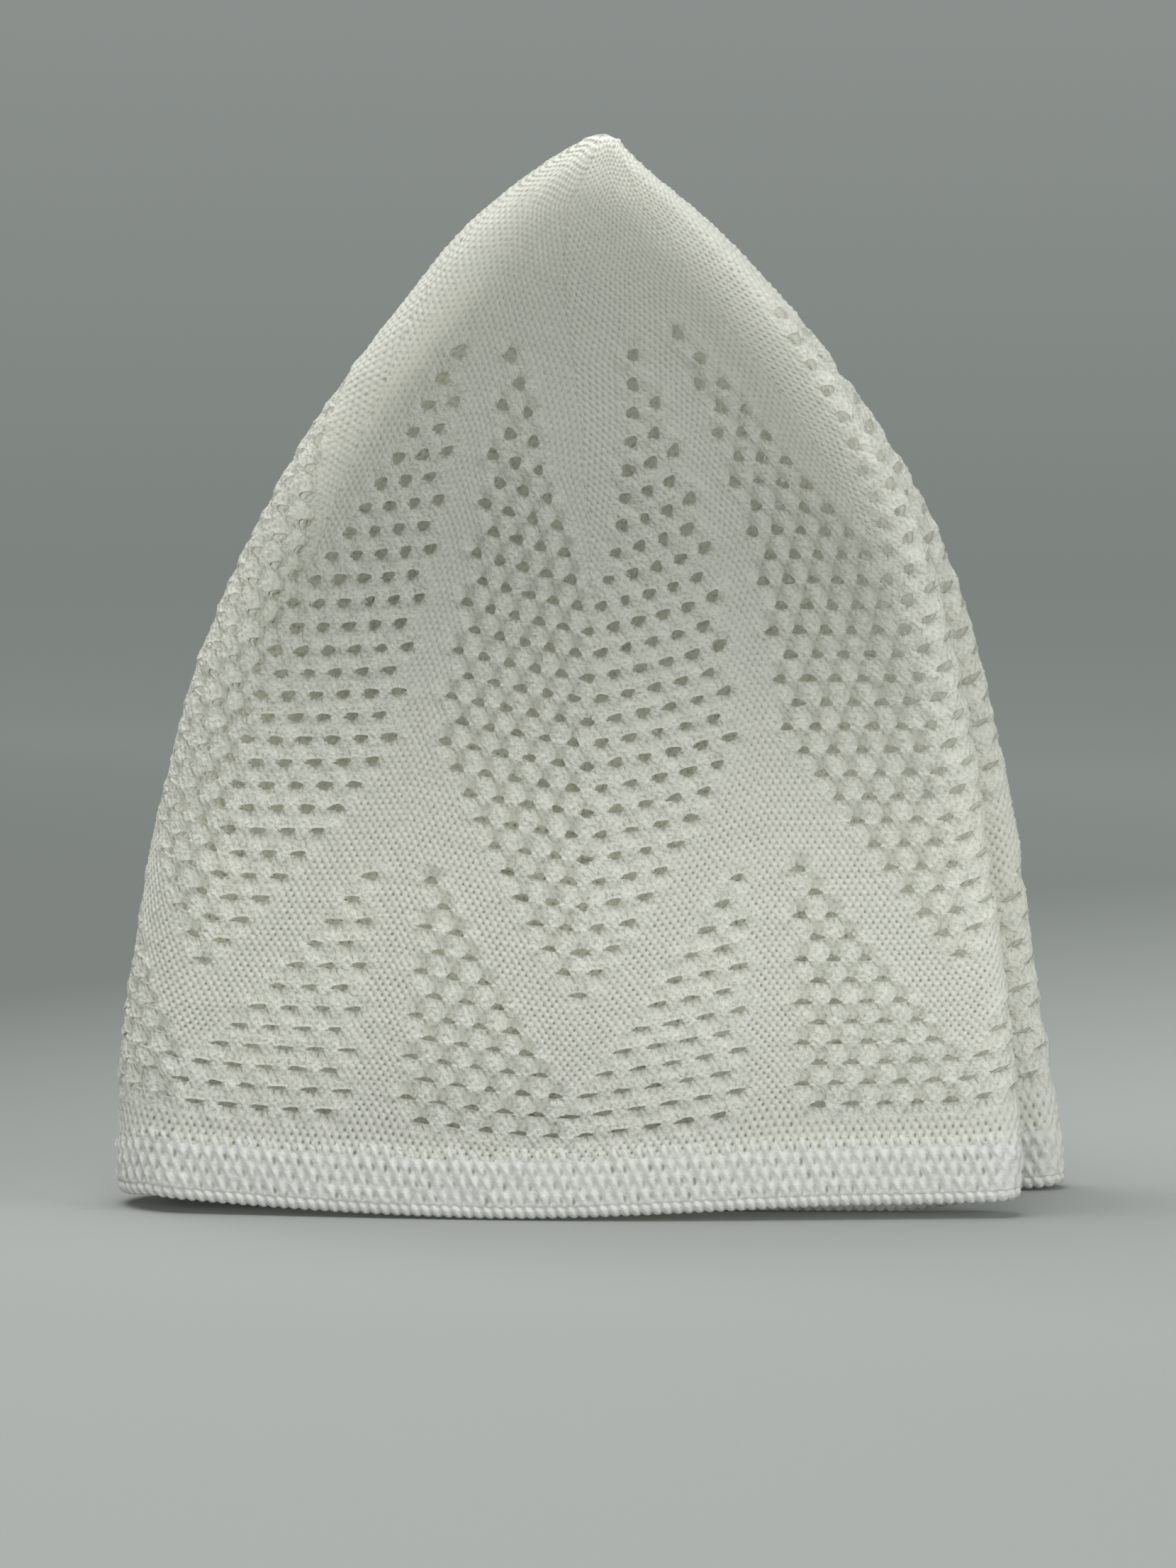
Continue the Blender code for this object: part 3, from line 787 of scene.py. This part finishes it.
def make_band(fold):
    """Thick band: a flat rounded profile, with rows of knots on both faces."""
    rng = np.random.default_rng(SEED + 1)
    columns = BAND_KNOTS_ROUND * BAND_KNOT_COLUMNS
    shares = np.arange(columns) / columns
    face = np.linspace(BAND_HIGH, BAND_LOW, BAND_KNOT_ROWS * BAND_KNOT_ROW_STEPS + 1)
    bend = np.sin(np.linspace(0, np.pi, BAND_RIM_STEPS + 2)[1:-1])
    turn = np.cos(np.linspace(0, np.pi, BAND_RIM_STEPS + 2)[1:-1])
    heights = np.concatenate((face, BAND_LOW - 0.5 * BAND_HALF_WALL * bend,
                              face[::-1], BAND_HIGH + 0.3 * BAND_HALF_WALL * bend))
    sides = np.concatenate((np.ones(len(face)), turn, -np.ones(len(face)), -turn))
    v = (heights - BAND_LOW) / (BAND_HIGH - BAND_LOW) * BAND_KNOT_ROWS
    u = shares * BAND_KNOTS_ROUND
    lean = BAND_SLANT * np.sin(2 * np.pi * v) / (2 * np.pi)
    knots = knot_field(u[None, :] - lean[:, None], v[:, None])
    knot_row = np.clip(v, 0, BAND_KNOT_ROWS - 1e-6).astype(int)[:, None]
    knot_column = u.astype(int)[None, :]
    size = rng.uniform(*BAND_KNOT_SIZES, (BAND_KNOT_ROWS, BAND_KNOTS_ROUND))[knot_row, knot_column]
    size = size * (1 + BAND_ROUGHNESS * rng.standard_normal(knots.shape))
    half = np.interp(heights, BAND_WALL_HEIGHTS, BAND_HALF_WALLS)[:, None]
    rises = sides[:, None] * (half + BAND_KNOT_RISE * knots * size)
    stitches = np.stack(np.broadcast_arrays(
        u[None, :] - lean[:, None] - 0.1, v[:, None] - 0.85), axis=2)
    grid = profile_round(fold, shares, np.broadcast_to(heights[:, None], rises.shape), rises)
    return closed_tube("rim_band_knots", grid, stitches)


def make_edge(fold):
    """Chain edge: an oval profile that swells in every link, with the swell slanting round it."""
    columns = EDGE_LINKS * EDGE_LINK_COLUMNS
    shares = np.arange(columns) / columns
    angle = np.linspace(0, 2 * np.pi, EDGE_PROFILE_STEPS, endpoint=False)[:, None]
    link = shares[None, :] * EDGE_LINKS + EDGE_LINK_SLANT * np.sin(angle)
    swell = 1 - EDGE_LINK_RISE * (1 - np.abs(np.sin(np.pi * link)) ** 0.7)
    heights = EDGE_MIDDLE + EDGE_HALF_HEIGHT * np.sin(angle) * swell
    rises = EDGE_HALF_WALL * np.cos(angle) * swell
    stitches = np.stack(np.broadcast_arrays(link * 2, angle / np.pi * 2), axis=2)
    grid = profile_round(fold, shares, heights, rises)
    return closed_tube("rim_edge_chain", grid[::-1], stitches[::-1])


# Materials

class Value:
    """A number socket that takes part in Python expressions, adding Math nodes."""

    def __init__(self, nodes, socket):
        self.nodes = nodes
        self.socket = socket

    def math(self, operation, *others, clamp=False):
        """This value and others through a Math node."""
        settings = {"operation": operation, "use_clamp": clamp}
        return self.nodes.add("ShaderNodeMath", settings, [self, *others])

    def __add__(self, other):
        return self.math("ADD", other)

    def __sub__(self, other):
        return self.math("SUBTRACT", other)

    def __rsub__(self, other):
        return self.nodes.add("ShaderNodeMath", {"operation": "SUBTRACT"}, [other, self])

    def __mul__(self, other):
        return self.math("MULTIPLY", other)

    def __pow__(self, other):
        return self.math("POWER", other)

    def clamped(self):
        """This value held between 0 and 1."""
        return self.math("ADD", 0.0, clamp=True)


class Nodes:
    """One material's node tree, with one method that adds any node."""

    def __init__(self, name, roughness):
        self.material = bpy.data.materials.new(name)
        self.material.use_nodes = True
        self.tree = self.material.node_tree
        self.shader = self.tree.nodes["Principled BSDF"]
        self.shader.inputs["Roughness"].default_value = roughness

    def link(self, value, socket):
        """A value, socket or constant into a socket."""
        if isinstance(value, Value):
            value = value.socket
        if isinstance(value, bpy.types.NodeSocket):
            self.tree.links.new(value, socket)
        elif value is not None:
            socket.default_value = value

    def add(self, kind, settings=None, inputs=(), output=0):
        """A node of a kind: its settings first, then its sockets by position or name."""
        node = self.tree.nodes.new(kind)
        for key, setting in (settings or {}).items():
            setattr(node, key, setting)
        pairs = inputs.items() if isinstance(inputs, dict) else enumerate(inputs)
        for key, value in pairs:
            self.link(value, node.inputs[key])
        return Value(self, node.outputs[output])

    def mix(self, factor, first, second):
        """Colour between two colours."""
        return self.add(
            "ShaderNodeMix", {"data_type": "RGBA", "clamp_factor": True},
            {"Factor": factor, 6: first, 7: second}, output=2)

    def noise(self, scale, detail=2.0):
        """Noise over Object coordinates, scaled per metre."""
        place = self.add("ShaderNodeTexCoord", output=3)
        return self.add("ShaderNodeTexNoise", {}, {"Vector": place, "Scale": scale, "Detail": detail})


YARN_LIGHT = (0.97, 0.98, 0.93, 1.0)
YARN_WARM = (0.96, 0.96, 0.88, 1.0)
BAND_LIGHT = (0.74, 0.75, 0.72, 1.0)
BAND_WARM = (0.72, 0.73, 0.68, 1.0)
# colour of the painted shade in the gaps between stitches
YARN_SHADE = (0.26, 0.28, 0.22, 1.0)
# colour of the painted shade over the crown's hollow and upper part
YARN_PAINTED_SHADE = (0.54, 0.55, 0.51, 1.0)
DIM_CALM = 0.45
THROUGH_COLOUR = (0.97, 0.97, 0.89, 1.0)
GAP_START = 0.30
FLECK_SHADE = 0.30
FIBRE_SCALE = 2400.0
LUMP_SCALE = 420.0
CLUMP_SCALE = 1600.0
VARIED_SCALE = 700.0
TINT_SCALE = 60.0


def yarn_material(name, light, warm, stitch_depth, clump_depth, fuzz_depth, gap_shade, through):
    """Matt yarn that lets some light through: a staggered lattice of pillows over the
    stitch coordinates, with painted shade in the gaps and hollows between them, flatter and clumped
    in the openwork with painted shade in the clumps' low spots, with fibres as fine noise, a slow
    drift of tint and painted shade over the crown's hollow and upper part.
    Depths are in metres."""
    n = Nodes(name, 0.6)
    n.shader.inputs["Specular IOR Level"].default_value = 0.45
    uv = n.add("ShaderNodeUVMap", {"uv_map": "stitches"})
    u = n.add("ShaderNodeSeparateXYZ", {}, [uv])
    v = Value(n, u.socket.node.outputs[1])
    openwork = n.add("ShaderNodeAttribute", {"attribute_name": "openwork"}, output=2)
    shaded = n.add("ShaderNodeAttribute", {"attribute_name": "shaded"}, output=2)
    waver = n.noise(LUMP_SCALE)
    x = (u + waver * 0.3 - 0.4) * (2 * np.pi)
    y = (v + waver * 0.3 + 0.35) * np.pi
    lattice = x.math("COSINE") * y.math("COSINE") * 0.5 + 0.5
    pillow = lattice ** 0.6
    calm = (LIP_OPENWORK - openwork).clamped()
    facing = n.add("ShaderNodeSeparateXYZ", {}, [n.add("ShaderNodeNewGeometry", output=1)])
    face = (1.9 - facing.math("ABSOLUTE") * 2.0).clamped() * calm
    varied = n.noise(VARIED_SCALE, 0.0) * 2.4 - 0.4
    # painted shade where stitches meet, towards YARN_SHADE, weaker in the openwork and at the folds
    gap = ((lattice - GAP_START) * (-1 / GAP_START)).clamped() * (1 - openwork * 0.8).clamped()
    gap = gap * varied * face * (1 - shaded * DIM_CALM)
    fibre = n.noise(FIBRE_SCALE, 1.0)
    clump = n.noise(CLUMP_SCALE, 1.0)
    height = (
        pillow * stitch_depth * (1 - openwork * 0.35) * (1 - shaded * DIM_CALM)
        + clump * openwork * clump_depth + fibre * fuzz_depth
    ) * calm
    bump = n.add("ShaderNodeBump", {}, {"Strength": 1.0, "Distance": 1.0, "Height": height})
    tint = n.mix(n.noise(TINT_SCALE), light, warm)
    # painted shade: the yarn darkens by the shaded attribute over the crown's hollow and upper part
    tint = n.mix(shaded, tint, YARN_PAINTED_SHADE)
    # painted shade in the low spots of the clumps in the openwork, and in the hollows round each pillow
    clump_shade = ((0.5 - clump) * 4.0).clamped() * openwork * calm * FLECK_SHADE
    shade = (gap * gap_shade + (1 - pillow) * gap_shade * 0.2 + clump_shade).clamped()
    n.link(n.mix(shade, tint, YARN_SHADE), n.shader.inputs["Base Color"])
    n.link(bump, n.shader.inputs["Normal"])
    passed = n.add("ShaderNodeBsdfTranslucent", {}, {"Color": THROUGH_COLOUR, "Normal": bump})
    cloth = n.add("ShaderNodeMixShader", {}, [through, n.shader.outputs["BSDF"], passed])
    n.link(cloth, n.tree.nodes["Material Output"].inputs["Surface"])
    return n.material


def stage_material(name):
    """Plain paper: lighter near the cap, with painted shade farther off and sooner on the left. The
    lamps by the cap don't reach the far paper, so it has an even painted glow of its own, standing in
    for lamp light."""
    n = Nodes(name, 0.95)
    place = n.add("ShaderNodeTexCoord", output=3)
    x = n.add("ShaderNodeSeparateXYZ", {}, [place])
    y = Value(n, x.socket.node.outputs[1]) + NEAR_BACK
    z = Value(n, x.socket.node.outputs[2])
    reach = (x * x + y * y) ** 0.5 + z
    # painted shade: the paper darkens farther from the cap and sooner on the left
    up = ((reach - x * SHADE_SLANT - SHADE_START) * (1 / SHADE_WIDTH)).clamped() ** SHADE_EASE
    n.link(n.mix(up, FLOOR_COLOUR, PAPER_PAINTED_SHADE), n.shader.inputs["Base Color"])
    # painted light: the far paper glows, brighter higher up, in place of lamp light
    far = ((reach + x * GLOW_SLANT - GLOW_START) * (1 / GLOW_WIDTH)).clamped() ** GLOW_EASE
    high = ((z - HIGH_START) * (1 / HIGH_WIDTH)).clamped()
    glow = n.mix(far, NO_GLOW, n.mix(high, FAR_GLOW, HIGH_GLOW))
    n.link(glow, n.shader.inputs["Emission Color"])
    n.shader.inputs["Emission Strength"].default_value = 1.0
    n.material.cycles.emission_sampling = "NONE"
    return n.material


# Stage, light and camera

# The paper's painted shade and its painted glow depend on the distance from a point
# NEAR_BACK in front of the cap
FLOOR_REACH = 1.45
COVE_ROUND = 0.25
COVE_HEIGHT = 0.8
COVE_SIDES = 96
COVE_STEPS = 13
FLOOR_COLOUR = (0.273, 0.290, 0.280, 1.0)
# colour of the painted shade on the far paper
PAPER_PAINTED_SHADE = (0.110, 0.120, 0.114, 1.0)
NEAR_BACK = 0.25
SHADE_START = 0.285
SHADE_SLANT = 0.95
SHADE_WIDTH = 0.36
SHADE_EASE = 1.3
NO_GLOW = (0.0, 0.0, 0.0, 1.0)
# colours of the painted glow of the far paper, brighter higher up
FAR_GLOW = (0.162, 0.180, 0.168, 1.0)
HIGH_GLOW = (0.214, 0.230, 0.222, 1.0)
GLOW_START = 0.1
GLOW_SLANT = 0.5
GLOW_WIDTH = 0.95
GLOW_EASE = 1.3
HIGH_START = 0.0
HIGH_WIDTH = 0.19

CAMERA_DISTANCE = 1.2
CAMERA_ELEVATION = np.radians(4.9)
PHOTO_HEIGHT_PX = 2212
PX_PER_MM = 9.5
FRAME_HEIGHT = PHOTO_HEIGHT_PX / PX_PER_MM * MM
FRAME_MIDDLE = Vector((-0.0007, 0.0, 0.0626))
SENSOR = 24.0


def make_floor():
    """Round studio floor: a flat disc out to FLOOR_REACH that turns up all round in a quarter
    circle: distance FLOOR_REACH + COVE_ROUND sin(t), height COVE_ROUND (1 - cos(t))."""
    turn = np.linspace(0, np.pi / 2, COVE_STEPS)
    reach = np.append(FLOOR_REACH + COVE_ROUND * np.sin(turn), FLOOR_REACH + COVE_ROUND)
    height = np.append(COVE_ROUND * (1 - np.cos(turn)), COVE_HEIGHT)
    around = np.arange(COVE_SIDES) * 2 * np.pi / COVE_SIDES
    rings = [reach[:, None] * np.cos(around), reach[:, None] * np.sin(around),
             height[:, None] + 0 * around]
    ids = np.arange(len(reach) * COVE_SIDES).reshape(len(reach), COVE_SIDES)
    next_ids = np.roll(ids, -1, axis=1)
    quads = np.stack((ids[:-1], ids[1:], next_ids[1:], next_ids[:-1]), axis=2).reshape(-1, 4)
    mesh = bpy.data.meshes.new("floor")
    points = np.stack(rings, axis=2).reshape(-1, 3)
    mesh.from_pydata(points.tolist(), [], [ids[0].tolist()] + quads.tolist())
    mesh.shade_smooth()
    floor = bpy.data.objects.new("floor", mesh)
    bpy.context.scene.collection.objects.link(floor)
    mesh.materials.append(stage_material("paper"))


def add_light(name, size, power, place, target):
    """Square soft light at a place, turned to a target."""
    light = bpy.data.lights.new(name, "AREA")
    light.shape = "SQUARE"
    light.size = size
    light.energy = power
    lamp = bpy.data.objects.new(name, light)
    lamp.location = place
    lamp.visible_camera = False
    lamp.rotation_euler = (Vector(target) - Vector(place)).to_track_quat("-Z", "Y").to_euler()
    bpy.context.scene.collection.objects.link(lamp)


def make_lights():
    """A wide light overhead, weak ones low in front and from the right, and an even surround."""
    add_light("overhead", 0.7, 7.2, (-0.15, 0.03, 0.70), (0, 0, 0.08))
    add_light("front", 0.6, 4.7, (0.0, -0.80, 0.10), (0, 0, 0.05))
    add_light("right", 0.5, 3.5, (0.80, -0.40, 0.40), (0, 0, 0.08))
    world = bpy.data.worlds.new("surround")
    world.use_nodes = True
    world.node_tree.nodes["Background"].inputs["Color"].default_value = (0.95, 0.98, 1.0, 1.0)
    world.node_tree.nodes["Background"].inputs["Strength"].default_value = 0.12
    bpy.context.scene.world = world
    bpy.context.scene.view_settings.view_transform = "Standard"


def make_camera():
    """Long lens at the photo's angle, framed so that the photo's pixels are PX_PER_MM to the
    millimetre at the cap."""
    data = bpy.data.cameras.new("camera")
    data.sensor_fit = "VERTICAL"
    data.sensor_height = SENSOR
    data.lens = SENSOR * CAMERA_DISTANCE / FRAME_HEIGHT
    camera = bpy.data.objects.new("camera", data)
    back = Vector((0, -np.cos(CAMERA_ELEVATION), np.sin(CAMERA_ELEVATION)))
    camera.location = FRAME_MIDDLE + CAMERA_DISTANCE * back
    camera.rotation_euler = (-back).to_track_quat("-Z", "Y").to_euler()
    bpy.context.scene.collection.objects.link(camera)
    bpy.context.scene.camera = camera


# Assembly


def dress(piece, node, material):
    """Puts a finished piece in place of its solid."""
    piece.data.materials.append(material)
    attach(piece, "root")
    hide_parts(node)


def make_cap():
    """All pieces of the cap."""
    fold = Fold()
    crown = Crown(fold)
    lace_yarn = yarn_material("lace_yarn", YARN_LIGHT, YARN_WARM, 0.00032, 0.00045, 0.00007, 0.90, 0.47)
    band_yarn = yarn_material("band_yarn", BAND_LIGHT, BAND_WARM, 0.00020, 0.0, 0.00012, 0.70, 0.15)
    edge_yarn = yarn_material("edge_yarn", BAND_LIGHT, BAND_WARM, 0.00008, 0.0, 0.00012, 0.12, 0.15)
    for name, first, count in CROWN_PIECES:
        piece = surface(name, *crown.piece_arrays(first, count))
        dress(piece, "crown", lace_yarn)
    band = make_band(fold)
    dress(band, "rim_band", band_yarn)
    edge = make_edge(fold)
    dress(edge, "rim_edge", edge_yarn)


make_camera()
make_floor()
make_lights()
make_cap()
